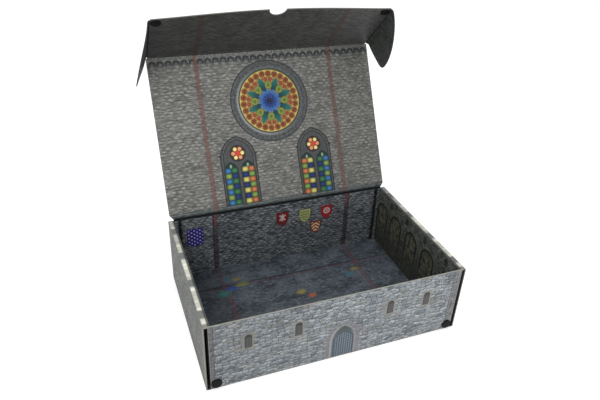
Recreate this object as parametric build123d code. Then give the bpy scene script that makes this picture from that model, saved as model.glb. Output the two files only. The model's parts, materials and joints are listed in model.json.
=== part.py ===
"""Hinged carry case for tabletop miniatures, folded from printed board.

Frame: the origin is the centre of the tray's underside, +Z is up, +X runs along
the front wall and +Y points to the hinged back wall. All sizes are in millimetres.

The tray has single front and back walls and hollow roll-over side walls. The lid
turns on a crease along the back wall. A flap on the lid's free edge folds down in
front of the front wall, and an ear at each end of the flap tucks into the hollow
of the side wall. Round magnetic discs on the flap and the front wall meet when
the case is shut. Steel sheets in the floor and the back wall hold the magnetic
bases of the miniatures.
"""

import math
import os

from build123d import *

# Tray
TRAY_LENGTH = 400.0        # along X, over the side walls
TRAY_DEPTH = 260.0         # along Y, over the front and back walls
TRAY_HEIGHT = 116.0        # to the top of the walls
BOARD = 1.5                # thickness of the printed board
SIDE_HOLLOW = 6.6          # clear width inside a roll-over side wall
FOLD_RADIUS = 1.0          # outside rounding of a folded edge
CORNER_FLAP_REACH = 58.0   # how far a corner flap runs into the side wall
CORNER_FLAP_DROP = 4.0     # corner flaps are this much lower than the walls
EAR_SLOT = 5.0             # gap between the front wall's end and the outer side panel
FIT_GAP = 0.1              # between sheets that lie beside each other

# Magnetic lining
STEEL = 0.5
LINING = 0.5
LINING_GAP = 0.4           # lining to wall

# Corner rivets, which hold the front corner flaps to the inner side panels
RIVET_HEAD_RADIUS = 5.0
RIVET_HEAD_HEIGHT = 1.2
RIVET_RIM_ROUNDING = 0.6
RIVET_SHANK_RADIUS = 2.0
RIVET_HOLE_CLEARANCE = 0.1
RIVET_SETBACK = 35.0       # from the front wall's outer face
RIVET_HEIGHT = 81.0

# Lid, flap and ears
LID_OPEN = 118.0           # lid angle at rest, from shut
FLAP_FOLD = 74.5           # flap fold at rest, from flat with the lid
EAR_FOLD = {"left": 68.0, "right": 76.0}   # ear folds at rest, from flat with the flap
HINGE_RISE = 1.2           # lid crease above the side walls
FLAP_STANDOFF = 5.3        # flap crease in front of the front wall, when shut
LID_WIDTH = 394.0
LID_CORNER = (6.0, 7.0)    # cut-back of the corners at the crease, along X and along the lid
FLAP_WIDTH = 390.0         # between the ear creases
FLAP_HEIGHT = 116.0
FLAP_CORNER_RADIUS = 3.0
NOTCH_RADIUS = 14.0        # thumb notch in the flap's free edge
CREASE_RADIUS = 0.6        # bead of the folded board on each crease line
CREASE_GAP = 0.3           # bead to panel edge

# Ear outline: a tongue with a rounded tip next to the lid and a long curved edge
EAR_START = 3.0            # from the flap crease to the ear's root
EAR_END = 113.0
EAR_REACH = 60.0
EAR_SHOULDER = 8.5         # how far the lid-side edge steps away from the lid
EAR_TIP_RADIUS = 10.0
EAR_FULLNESS = 0.44        # handle length of the long curved edge; an ellipse has 0.55

# Closure discs
DISC_RADIUS = 7.8
DISC_HEIGHT = 2.1
DISC_RIM_ROUNDING = 0.6
MAGNET_RADIUS = 5.0
MAGNET_HEIGHT = 1.2
MAGNET_CLEARANCE = 0.1
DISC_INSET = 14.6          # disc centre from the side wall's outer face
DISC_HEIGHT_ON_WALL = 9.9  # disc centre above the base

SIDES = {"left": -1, "right": 1}

half_length = TRAY_LENGTH / 2
half_depth = TRAY_DEPTH / 2
front_face = -half_depth
side_inner_face = half_length - 2 * BOARD - SIDE_HOLLOW
wall_foot = BOARD
strip_foot = TRAY_HEIGHT - BOARD
hinge_y = half_depth - BOARD / 2
hinge_z = TRAY_HEIGHT + HINGE_RISE
lid_length = hinge_y - front_face + FLAP_STANDOFF
panel_margin = CREASE_RADIUS + CREASE_GAP
front_half = half_length - BOARD - EAR_SLOT
rivet_y = front_face + RIVET_SETBACK
lid_root_half = LID_WIDTH / 2 - LID_CORNER[0]

X_AXIS = Vector(1, 0, 0)


def block(x, y, z):
    """A box between two limits along each axis, given in any order."""
    low = [min(pair) for pair in (x, y, z)]
    size = [abs(pair[1] - pair[0]) for pair in (x, y, z)]
    corner = Align.MIN
    return Pos(*low) * Box(*size, align=(corner, corner, corner))


def direction(angle):
    """The unit vector in the YZ plane at an angle in degrees from +Y towards +Z."""
    return Vector(0, math.cos(math.radians(angle)), math.sin(math.radians(angle)))


def panel(plane, outline):
    """A sheet of board centred on a plane."""
    return extrude(plane * outline, amount=BOARD / 2, both=True)


def rod(start, end, radius):
    """A round rod between two points."""
    run = end - start
    return extrude(Plane(start, z_dir=run.normalized()) * Circle(radius), amount=run.length)


# The lid and flap planes: local x along X, local y away from the crease, local z
# out of the printed inner face.
lid_angle = 180.0 - LID_OPEN
flap_angle = lid_angle + FLAP_FOLD
lid_plane = Plane(
    origin=(0, hinge_y, hinge_z), x_dir=X_AXIS, z_dir=X_AXIS.cross(direction(lid_angle))
)
flap_origin = lid_plane.origin + direction(lid_angle) * lid_length
flap_plane = Plane(
    origin=flap_origin, x_dir=X_AXIS, z_dir=X_AXIS.cross(direction(flap_angle))
)


def ear_plane(side):
    """Local x out along the ear, local y along the ear's crease."""
    fold = math.radians(EAR_FOLD[side])
    outward = X_AXIS * SIDES[side] * math.cos(fold) + flap_plane.z_dir * math.sin(fold)
    origin = flap_origin + X_AXIS * SIDES[side] * FLAP_WIDTH / 2
    return Plane(origin=origin, x_dir=outward, z_dir=outward.cross(flap_plane.y_dir))


def tray_parts():
    """The folded tray: floor, walls, roll-over strips and the corner flaps."""
    parts = {}
    floor = block((-half_length, half_length), (-half_depth, half_depth), (0, BOARD))
    parts["floor_panel"] = fillet(floor.edges().group_by(Axis.Z)[0], FOLD_RADIUS)

    parts["front_wall"] = block(
        (-front_half, front_half), (front_face, front_face + BOARD), (wall_foot, TRAY_HEIGHT)
    )
    back = block(
        (-half_length, half_length), (half_depth - BOARD, half_depth), (wall_foot, TRAY_HEIGHT)
    )
    crease_web = block(
        (-lid_root_half, lid_root_half),
        (half_depth - BOARD, half_depth),
        (TRAY_HEIGHT, hinge_z - panel_margin),
    )
    parts["back_wall"] = back + crease_web

    inner_y = (front_face + BOARD + FIT_GAP, half_depth - BOARD)
    for side, sign in SIDES.items():
        parts[f"side_outer_{side}"] = block(
            (sign * (half_length - BOARD), sign * half_length),
            (front_face, half_depth - BOARD),
            (wall_foot, strip_foot),
        )
        strip = block(
            (sign * side_inner_face, sign * half_length), inner_y, (strip_foot, TRAY_HEIGHT)
        )
        end = block(
            (sign * front_half, sign * half_length),
            (front_face, front_face + BOARD + FIT_GAP),
            (strip_foot, TRAY_HEIGHT),
        )
        long_top_edges = (strip + end).edges().filter_by(Axis.Y).group_by(Axis.Z)[-1]
        outer_edge = long_top_edges.sort_by(Axis.X)[-1 if sign > 0 else 0]
        parts[f"side_top_strip_{side}"] = fillet(outer_edge, FOLD_RADIUS)

        rivet_hole = rod(
            Vector(0, rivet_y, RIVET_HEIGHT),
            Vector(sign * half_length, rivet_y, RIVET_HEIGHT),
            RIVET_SHANK_RADIUS + RIVET_HOLE_CLEARANCE,
        )
        inner = block(
            (sign * side_inner_face, sign * (side_inner_face + BOARD)),
            inner_y,
            (wall_foot, strip_foot),
        )
        parts[f"side_inner_{side}"] = inner - rivet_hole
        flap_z = (wall_foot + FIT_GAP, TRAY_HEIGHT - CORNER_FLAP_DROP)
        front_flap = block(
            (sign * (front_half - BOARD), sign * front_half),
            (front_face + BOARD, front_face + CORNER_FLAP_REACH),
            flap_z,
        )
        parts[f"front_corner_flap_{side}"] = front_flap - rivet_hole
        rear_outer = half_length - BOARD - FIT_GAP
        parts[f"rear_corner_flap_{side}"] = block(
            (sign * (rear_outer - BOARD), sign * rear_outer),
            (half_depth - BOARD, half_depth - CORNER_FLAP_REACH),
            flap_z,
        )
    return parts


def lining_parts():
    """Steel sheets under printed sheets, on the floor and on the back wall."""
    x = (-side_inner_face + LINING_GAP, side_inner_face - LINING_GAP)
    back = half_depth - BOARD
    y = (front_face + BOARD + LINING_GAP, back - STEEL - LINING - FIT_GAP)
    z = (BOARD + STEEL + LINING, TRAY_HEIGHT - LINING_GAP)
    return {
        "floor_steel_sheet": block(x, y, (BOARD, BOARD + STEEL)),
        "floor_print_sheet": block(x, y, (BOARD + STEEL, BOARD + STEEL + LINING)),
        "back_steel_sheet": block(x, (back - STEEL, back), z),
        "back_print_sheet": block(x, (back - STEEL - LINING, back - STEEL), z),
    }


def rivet_parts():
    """Flat-headed rivets, set flush inside the side wall so that the ears pass them."""
    parts = {}
    for side, sign in SIDES.items():
        face = Vector(sign * side_inner_face, rivet_y, RIVET_HEIGHT)
        inward = X_AXIS * -sign
        head = extrude(
            Plane(face, z_dir=inward) * Circle(RIVET_HEAD_RADIUS), amount=RIVET_HEAD_HEIGHT
        )
        rim = head.edges().filter_by(GeomType.CIRCLE).sort_by(Axis.X)[0 if sign > 0 else -1]
        flush_end = Vector(sign * front_half, rivet_y, RIVET_HEIGHT)
        parts[f"corner_rivet_{side}"] = fillet(rim, RIVET_RIM_ROUNDING) + rod(
            face, flush_end, RIVET_SHANK_RADIUS
        )
    return parts


def lid_parts():
    """The lid, its flap and ears, and the crease bead on each fold line."""
    half = LID_WIDTH / 2
    root = lid_root_half
    shoulder = panel_margin + LID_CORNER[1]
    end = lid_length - panel_margin
    lid_outline = make_face(
        Polyline(
            (-root, panel_margin),
            (root, panel_margin),
            (half, shoulder),
            (half, end),
            (-half, end),
            (-half, shoulder),
            close=True,
        )
    )

    flap_half = FLAP_WIDTH / 2 - panel_margin
    flap_size = (2 * flap_half, FLAP_HEIGHT - panel_margin)
    flap_outline = Pos(0, panel_margin + flap_size[1] / 2) * Rectangle(*flap_size)
    free_corners = flap_outline.vertices().group_by(Axis.Y)[-1]
    flap_outline = fillet(free_corners, FLAP_CORNER_RADIUS)
    flap_outline -= Pos(0, FLAP_HEIGHT) * Circle(NOTCH_RADIUS)

    parts = {
        "lid_panel": panel(lid_plane, lid_outline),
        "lid_flap": panel(flap_plane, flap_outline),
        "lid_crease": rod(
            lid_plane.origin - X_AXIS * root, lid_plane.origin + X_AXIS * root, CREASE_RADIUS
        ),
        "flap_crease": rod(
            flap_origin - X_AXIS * flap_half, flap_origin + X_AXIS * flap_half, CREASE_RADIUS
        ),
    }
    for side in SIDES:
        plane = ear_plane(side)
        parts[f"ear_{side}"] = panel(plane, ear_outline())
        parts[f"ear_crease_{side}"] = rod(
            plane.origin + plane.y_dir * EAR_START,
            plane.origin + plane.y_dir * EAR_END,
            CREASE_RADIUS,
        )
    return parts


def ear_outline():
    """The tongue in its own plane: x is the reach, y runs along the crease."""
    tip_y = EAR_SHOULDER + EAR_TIP_RADIUS
    tip_x = EAR_REACH - EAR_TIP_RADIUS
    diagonal = EAR_TIP_RADIUS * math.sqrt(0.5)
    lid_side = Polyline(
        (panel_margin, EAR_START), (EAR_SHOULDER, EAR_SHOULDER), (tip_x, EAR_SHOULDER)
    )
    tip = ThreePointArc(
        (tip_x, EAR_SHOULDER), (tip_x + diagonal, tip_y - diagonal), (EAR_REACH, tip_y)
    )
    long_edge = Bezier(
        (EAR_REACH, tip_y),
        (EAR_REACH, tip_y + EAR_FULLNESS * (EAR_END - tip_y)),
        (panel_margin + EAR_FULLNESS * (EAR_REACH - panel_margin), EAR_END),
        (panel_margin, EAR_END),
    )
    root = Line((panel_margin, EAR_END), (panel_margin, EAR_START))
    return make_face([*lid_side.edges(), tip, long_edge, root])


def disc_parts():
    """Closure discs: a domed cap glued to the board, with a magnet in its back."""
    parts = {}
    inset = half_length - DISC_INSET
    on_flap = hinge_z - DISC_HEIGHT_ON_WALL
    for side, sign in SIDES.items():
        wall_point = Vector(sign * inset, front_face, DISC_HEIGHT_ON_WALL)
        flap_point = (
            flap_origin
            + X_AXIS * sign * inset
            + flap_plane.y_dir * on_flap
            + flap_plane.z_dir * BOARD / 2
        )
        for place, base in (
            ("front", Plane(wall_point, x_dir=X_AXIS, z_dir=(0, -1, 0))),
            ("flap", Plane(flap_point, x_dir=X_AXIS, z_dir=flap_plane.z_dir)),
        ):
            cap = Cylinder(
                DISC_RADIUS, DISC_HEIGHT, align=(Align.CENTER, Align.CENTER, Align.MIN)
            )
            cap = fillet(cap.edges().group_by(Axis.Z)[-1], DISC_RIM_ROUNDING)
            pocket = Cylinder(
                MAGNET_RADIUS + MAGNET_CLEARANCE,
                MAGNET_HEIGHT + MAGNET_CLEARANCE,
                align=(Align.CENTER, Align.CENTER, Align.MIN),
            )
            magnet = Cylinder(
                MAGNET_RADIUS, MAGNET_HEIGHT, align=(Align.CENTER, Align.CENTER, Align.MIN)
            )
            parts[f"{place}_disc_cap_{side}"] = base.location * (cap - pocket)
            parts[f"{place}_disc_magnet_{side}"] = base.location * magnet
    return parts


os.makedirs("parts", exist_ok=True)
for group in (tray_parts(), lining_parts(), rivet_parts(), lid_parts(), disc_parts()):
    for node, shape in group.items():
        export_step(shape, f"parts/{node}.step")
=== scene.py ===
import json
import math
from functools import partial, reduce

import bmesh
import bpy
from mathutils import Matrix, Vector
from mathutils.geometry import interpolate_bezier


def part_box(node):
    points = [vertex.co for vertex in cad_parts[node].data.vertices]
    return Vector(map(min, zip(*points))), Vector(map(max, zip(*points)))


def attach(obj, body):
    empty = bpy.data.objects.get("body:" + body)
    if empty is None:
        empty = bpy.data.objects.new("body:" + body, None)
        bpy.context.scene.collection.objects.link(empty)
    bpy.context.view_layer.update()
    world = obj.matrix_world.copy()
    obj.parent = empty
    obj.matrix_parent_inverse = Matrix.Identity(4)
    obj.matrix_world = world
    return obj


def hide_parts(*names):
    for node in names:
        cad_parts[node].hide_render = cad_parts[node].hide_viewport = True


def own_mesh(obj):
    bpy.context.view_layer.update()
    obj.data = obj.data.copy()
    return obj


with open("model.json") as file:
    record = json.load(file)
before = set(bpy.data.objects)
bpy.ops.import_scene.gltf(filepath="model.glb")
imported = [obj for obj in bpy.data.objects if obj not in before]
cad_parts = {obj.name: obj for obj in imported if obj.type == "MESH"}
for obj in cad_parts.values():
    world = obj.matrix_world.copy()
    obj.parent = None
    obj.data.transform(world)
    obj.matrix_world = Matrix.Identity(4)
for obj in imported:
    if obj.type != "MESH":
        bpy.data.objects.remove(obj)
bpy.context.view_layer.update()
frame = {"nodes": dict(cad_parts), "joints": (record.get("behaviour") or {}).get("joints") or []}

MM = 0.001
SIDES = (("left", -1), ("right", 1))

# ---------------------------------------------------------------- places, in mm


def corners(node_name):
    """A CAD node's lowest and highest corners in millimetres."""
    low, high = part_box(node_name)
    return Vector(low) / MM, Vector(high) / MM


joints = {joint["name"]: joint for joint in frame["joints"]}


def joint_point(name):
    return Vector(joints[name]["pos_m"]) / MM


def rest_turn(name):
    """How far at rest a joint stands from the low end of its range, in degrees."""
    return -joints[name]["range_deg"][0]


def in_plane(angle):
    """The unit vector in the YZ plane at an angle in degrees from +Y towards +Z."""
    return Vector((0, math.cos(math.radians(angle)), math.sin(math.radians(angle))))


X_AXIS = Vector((1, 0, 0))
SHUT_LID_ANGLE = 180

lid_angle = SHUT_LID_ANGLE - rest_turn("lid_hinge")
flap_angle = lid_angle + rest_turn("flap_fold")
lid_origin, flap_origin = joint_point("lid_hinge"), joint_point("flap_fold")
lid_dir, flap_dir = in_plane(lid_angle), in_plane(flap_angle)
lid_in, flap_in = X_AXIS.cross(lid_dir), X_AXIS.cross(flap_dir)

front_low, front_high = corners("front_wall")
board = front_high.y - front_low.y
front_half = front_high.x
tray_high = corners("side_top_strip_right")[1]
inner_half = corners("side_inner_right")[0].x
floor_low, floor_high = corners("floor_print_sheet")
lid_half = corners("lid_panel")[1].x
flap_half = corners("lid_flap")[1].x
ear_root = abs(joint_point("ear_right_fold").x)
flap_height = max(
    (Vector(vertex.co) / MM - flap_origin).dot(flap_dir)
    for vertex in frame["nodes"]["lid_flap"].data.vertices
)


# ------------------------------------------------------- writing materials as sums


class Num:
    """A number in a material, which the usual operators build on."""

    def __init__(self, socket):
        self.socket = socket

    def __neg__(self):
        return calc("MULTIPLY", self, -1)

    def __abs__(self):
        return calc("ABSOLUTE", self)

    def __gt__(self, limit):
        """1 where it is above the limit, 0 elsewhere."""
        return calc("GREATER_THAN", self, limit)


def teach(sign, operation):
    """Lets a Num stand on either side of an operator."""
    setattr(Num, f"__{sign}__", lambda self, other: calc(operation, self, other))
    setattr(Num, f"__r{sign}__", lambda self, other: calc(operation, other, self))


teach("add", "ADD")
teach("sub", "SUBTRACT")
teach("mul", "MULTIPLY")
teach("truediv", "DIVIDE")


class Bench:
    """The material that the calls below add to."""

    material = None


def linear(level):
    """A display level from 0 to 255 as the linear level that a material takes."""
    level /= 255
    return level / 12.92 if level <= 0.04045 else ((level + 0.055) / 1.055) ** 2.4


def wire(socket, value):
    """Feeds one input from a number, another output, or a display colour from 0 to 255."""
    value = getattr(value, "socket", value)
    if isinstance(value, bpy.types.NodeSocket):
        Bench.material.node_tree.links.new(value, socket)
    elif isinstance(value, tuple):
        alpha = (1.0,) if socket.type == "RGBA" else ()
        socket.default_value = (*(linear(level) for level in value), *alpha)
    else:
        socket.default_value = value


def add(kind, inputs=(), **settings):
    """Adds a node. inputs maps an input's name or place to its value."""
    made = Bench.material.node_tree.nodes.new(kind)
    for name, value in settings.items():
        setattr(made, name, value)
    for name, value in dict(inputs).items():
        wire(made.inputs[name], value)
    return made


def calc(operation, *values, clamp=False):
    made = add("ShaderNodeMath", enumerate(values), operation=operation, use_clamp=clamp)
    return Num(made.outputs[0])


def joined(*parts):
    """A vector from its parts."""
    return add("ShaderNodeCombineXYZ", enumerate(parts)).outputs[0]


def parts_of(vector):
    return [Num(part) for part in add("ShaderNodeSeparateXYZ", {0: vector}).outputs]


def least(*values):
    return reduce(partial(calc, "MINIMUM"), values)


def most(*values):
    return reduce(partial(calc, "MAXIMUM"), values)


def distance(a, b):
    return calc("SQRT", calc("MULTIPLY_ADD", a, a, b * b))


def bearing(x, y):
    """The direction of a place from 0, 0, in degrees."""
    return calc("ARCTAN2", y, x) * (180 / math.pi)


def wrap(value, period):
    """The value folded into one period round 0."""
    return calc("WRAP", value, period / 2, -period / 2)


def spokes(polar, count, turn=0):
    """A place's coordinates along and across the nearest of count spokes.

    polar is its distance from 0, 0 and its bearing.
    """
    radius, angle = polar
    folded = wrap(angle - turn, 360 / count) * (math.pi / 180)
    return radius * calc("COSINE", folded), radius * calc("SINE", folded)


def odd(value):
    """1 where the value's whole part is odd, 0 where it is even."""
    return calc("FLOORED_MODULO", calc("FLOOR", value), 2)


def either(choice, a, b):
    """a where the choice is 1, b where it is 0."""
    return choice * a + (1 - choice) * b


def mix(amount, a, b):
    inputs = {"Factor": amount, 6: a, 7: b}
    return add("ShaderNodeMix", inputs, data_type="RGBA", blend_type="MIX").outputs[2]


def scaled(colour, amount):
    """A colour times a number."""
    return add("ShaderNodeVectorMath", {0: colour, "Scale": amount}, operation="SCALE").outputs[0]


def darker(tint, amount):
    return tuple(level * amount for level in tint)


def noise(u, v, size_u, size_v, seed, detail=3):
    """Smooth noise from 0 to 1 whose blobs are about size_u by size_v."""
    place = joined(u * (1 / size_u), v * (1 / size_v), seed)
    inputs = {"Vector": place, "Scale": 1.0, "Detail": detail, "Roughness": 0.55}
    return Num(add("ShaderNodeTexNoise", inputs).outputs["Fac"])


def chance(u, v):
    """A fixed random number from 0 to 1 for a pair of whole numbers."""
    inputs = {0: joined(u, v, 0)}
    return Num(add("ShaderNodeTexWhiteNoise", inputs, noise_dimensions="2D").outputs["Value"])


def ramp(value, low, high):
    """0 below low, 1 above high, smooth between them."""
    inputs = {"Value": value, "From Min": low, "From Max": high}
    return Num(add("ShaderNodeMapRange", inputs, interpolation_type="SMOOTHSTEP").outputs[0])


def rectangle(x, y, half_x, half_y):
    """The distance inside a rectangle: below 0 outside it, as for every shape here."""
    return least(half_x - abs(x), half_y - abs(y))


def arch(x, y, half, radius):
    """Inside distance of an arch of any depth below y = 0. radius = half is a round arch."""
    offset = radius - half
    return radius - distance(abs(x) + offset, most(y, 0))


PRINT_SOFT = 0.35          # mm over which a printed edge fades
RED_BAND = 119             # from the middle to each red band
RED_BAND_WIDTH = 6.6


def cover(inside, soft=PRINT_SOFT):
    """1 where the inside distance is above 0, 0 where it is below, soft between them."""
    return calc("MULTIPLY_ADD", inside, 1 / soft, 0.5, clamp=True)


class Picture:
    """A print as it builds up, one layer over another."""

    def __init__(self, colour):
        self.socket = colour

    def lay(self, amount, tint):
        """Lays a tint on, by an amount from 0 to 1."""
        self.socket = mix(amount, self.socket, tint)

    def fill(self, inside, tint, strength=1, soft=PRINT_SOFT):
        amount = cover(inside, soft)
        self.lay(amount if strength == 1 else amount * strength, tint)

    def stroke(self, inside, width, tint, strength=1, soft=PRINT_SOFT):
        """Draws a line along a shape's edge."""
        self.fill(width / 2 - abs(inside), tint, strength, soft)

    def scale(self, amount):
        """Makes the whole print lighter or darker."""
        self.socket = scaled(self.socket, amount)

    def wear(self, to_edge, u, v, seed, width=1, tint=(150, 150, 142)):
        """A ragged band along the board's cut edges: pale scuffed fibre by default, and painted
        shade with a dark tint, as along the floor.
        """
        ragged = noise(u, v, 2.4, 2.4, seed) * 1.3
        self.lay(cover(width * ragged - to_edge, 0.5) * 0.55, tint)

    def red_bands(self, u, v, seed, tint=(102, 67, 59), centre=RED_BAND, strength=0.84):
        """A red-brown band at each side, worn where it crosses the stone."""
        wander = (noise(u, v, 20, 9, seed) - 0.5) * 3
        inside = RED_BAND_WIDTH / 2 - abs(abs(u) - centre + wander)
        worn = 0.35 + noise(u, v, 4, 2.4, seed + 1.7) * 0.9
        self.lay(calc("MULTIPLY", cover(inside, 1.2), worn * strength, clamp=True), tint)
        self.lay(cover(0.45 - abs(inside + 0.3), 0.8) * 0.35, darker(tint, 0.6))


def start(name):
    """Starts a material, and gives x, y and z in the row frame in millimetres."""
    Bench.material = bpy.data.materials.new(name)
    Bench.material.use_nodes = True
    Bench.material.node_tree.nodes.clear()
    place = add("ShaderNodeTexCoord").outputs["Object"]
    return [part * (1 / MM) for part in parts_of(place)]


def facing():
    """The surface's own direction in the row frame at rest."""
    return parts_of(add("ShaderNodeTexCoord").outputs["Normal"])


def along(y, z, origin, direction):
    return (y - origin.y) * direction.y + (z - origin.z) * direction.z


def finish(colour, roughness, relief=None, strength=0.8, **others):
    """Ends a material and returns it.

    relief is a height in mm. others are the shader's own inputs, with _ for a space.
    """
    inputs = {"Base Color": colour, "Roughness": roughness}
    inputs |= {name.replace("_", " "): value for name, value in others.items()}
    if relief is not None:
        heights = {"Height": relief * MM, "Strength": strength, "Distance": 1.0}
        inputs["Normal"] = add("ShaderNodeBump", heights).outputs[0]
    shader = add("ShaderNodeBsdfPrincipled", inputs)
    add("ShaderNodeOutputMaterial", {"Surface": shader.outputs[0]})
    return Bench.material


def finish_board(colour, u, v, seed, rough=0.5, warp=0.35, gloss=0.26):
    """Satin film over printed board: fine orange peel, soft waves, rubbed patches."""
    rubbed = noise(u, v, 34, 22, seed, 3)
    peel = noise(u, v, 0.55, 0.55, seed + 2, 2)
    waves = noise(u, v, 42, 30, seed + 4, 1)
    relief = waves * warp + peel * 0.012
    roughness = rough + (rubbed - 0.5) * 0.22
    return finish(colour, roughness, relief, Specular_IOR_Level=gloss)


# ---------------------------------------------------------------------------- stone


def warped(u, v, wobble, seed):
    """The place on the print, pushed about so that courses run wavy."""
    sway = noise(u, v, 26, 16, seed) - 0.5
    jog = noise(u, v, 7, 5, seed + 3.1) - 0.5
    return (
        u + jog * (4 * wobble) + sway * (6 * wobble),
        v + sway * (5 * wobble) + jog * (1.7 * wobble),
    )


def masonry(u, v, seed, course, length, joint, dark, light, fleck, wobble=1, flecks=0.8):
    """Weathered coursed stone: low stones in wavy courses with a long pale fleck on most."""
    run, rise = warped(u, v, wobble, seed)
    stones = add(
        "ShaderNodeTexBrick",
        {
            "Vector": joined(run, rise, 0.0),
            "Color1": dark,
            "Color2": light,
            "Mortar": joint,
            "Scale": 1.0,
            "Mortar Size": 0.3,
            "Mortar Smooth": 1.0,
            "Bias": -0.1,
            "Brick Width": length,
            "Row Height": course,
        },
        offset=0.5, offset_frequency=2, squash=1,
    )
    art = Picture(stones.outputs["Color"])
    art.scale(0.74 + noise(u, v, 48, 30, seed + 5.7) * 0.52)
    streaks = noise(run, rise, length * 0.8, course * 0.26, seed + 9.3)
    art.lay(ramp(streaks, 0.5, 0.7) * (flecks * 0.8), fleck)
    art.lay(ramp(-streaks, -0.48, -0.32) * 0.9, joint)
    row = calc("FLOOR", rise / course)
    cell = run / length + odd(rise / course) * 0.5
    column = calc("FLOOR", cell)
    along_stone = (cell - column - 0.5) * (1 / 0.46)
    up_stone = (rise / course - row - 0.58) * (1 / 0.42)
    lumps = noise(u, v, 3.8, 1.1, seed + 13.9) - 0.5
    shape = 1 - distance(along_stone, up_stone) + lumps * 2.8
    pale = ramp(shape, 0.1, 0.85) * ramp(chance(column, row), 0.1, 0.95)
    art.lay(pale * flecks, fleck)
    art.scale(0.86 + noise(u, v, 0.9, 0.7, seed + 17, 2) * 0.28)
    return art


LID_STONE = dict(
    course=5.2, length=10.5, wobble=0.55,
    joint=(64, 65, 64), dark=(91, 91, 88), light=(108, 108, 105), fleck=(156, 156, 150),
)
DIM_STONE = dict(
    course=4.8, length=10, wobble=0.6, flecks=0.78,
    joint=(30, 34, 38), dark=(56, 61, 66), light=(94, 99, 104), fleck=(160, 163, 164),
)
NICHE_STONE = dict(
    course=4.6, length=8, wobble=2, flecks=0.85,
    joint=(30, 32, 31), dark=(60, 63, 60), light=(84, 87, 82), fleck=(132, 135, 128),
)
# The flap's stone, darkened as painted shade, as its inner face looks down.
FLAP_STONE_IN_SHADE = dict(
    course=5.2, length=13, flecks=0.6,
    joint=(40, 41, 41), dark=(58, 59, 58), light=(70, 71, 70), fleck=(104, 105, 102),
)
# The ears' stone, darkened as painted shade.
EAR_STONE_IN_SHADE = dict(
    course=5.2, length=10, wobble=1.3, flecks=0.6,
    joint=(30, 33, 32), dark=(50, 53, 51), light=(64, 67, 65), fleck=(92, 95, 91),
)

RUBBLE_LENGTH = 8.8
RUBBLE_HEIGHT = 5.2


def rubble(u, v, seed, joint, dark, light, pale, warm):
    """Rough squared stones of many sizes, some paler along their upper edges."""
    run, rise = warped(u, v, 0.75, seed)
    place = joined(run / RUBBLE_LENGTH, rise / RUBBLE_HEIGHT, 0)
    nearest, second = (
        add(
            "ShaderNodeTexVoronoi",
            {"Vector": place, "Scale": 1.0, "Randomness": 0.82},
            voronoi_dimensions="2D", distance="CHEBYCHEV", feature=feature,
        ).outputs
        for feature in ("F1", "F2")
    )
    picks = add("ShaderNodeSeparateColor", {0: nearest["Color"]}).outputs
    art = Picture(mix(picks[0], dark, light))
    art.lay(ramp(picks[1], 0.66, 0.98) * 0.55, warm)
    rough = noise(u, v, 2.6, 1.6, seed + 7) - 0.5
    up_stone = rise / RUBBLE_HEIGHT - parts_of(nearest["Position"])[1] + rough * 2.2
    lit = ramp(up_stone, -0.1, 0.55)
    art.lay(lit * (0.1 + Num(picks[2]) * 0.75), pale)
    art.lay(ramp(-up_stone, 0.2, 0.7) * 0.4, joint)
    gap = Num(second["Distance"]) - nearest["Distance"] + rough * 0.16
    art.lay(ramp(-gap, -0.17, -0.01) * 0.72, joint)
    art.scale(0.82 + noise(u, v, 50, 34, seed + 5.7) * 0.36)
    art.scale(0.84 + noise(u, v, 0.9, 0.7, seed + 17, 2) * 0.32)
    return art


WALL_STONE = dict(
    joint=(50, 55, 60), dark=(84, 91, 97), light=(140, 147, 152),
    pale=(188, 192, 193), warm=(136, 131, 121),
)
# The same squared stones in plain grey, on every outer face but the front.
OUTER_STONE = dict(
    joint=(44, 46, 46), dark=(74, 77, 77), light=(118, 120, 118),
    pale=(158, 161, 157), warm=(112, 109, 101),
)

ROSE_AT = 178.2            # centre of the rose window from the lid's hinge
ROSE_RADIUS = 53
ROSE_FRAME = 69.5
ROSE_TURN = 88


def blade(run, side, middle, half_length, half_width):
    """A leaf or petal along a spoke, with its sizes as shares of the rose's radius."""
    reach = (run - ROSE_RADIUS * middle) / (ROSE_RADIUS * half_length)
    return (1 - reach * reach) * (ROSE_RADIUS * half_width) - abs(side)


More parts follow.
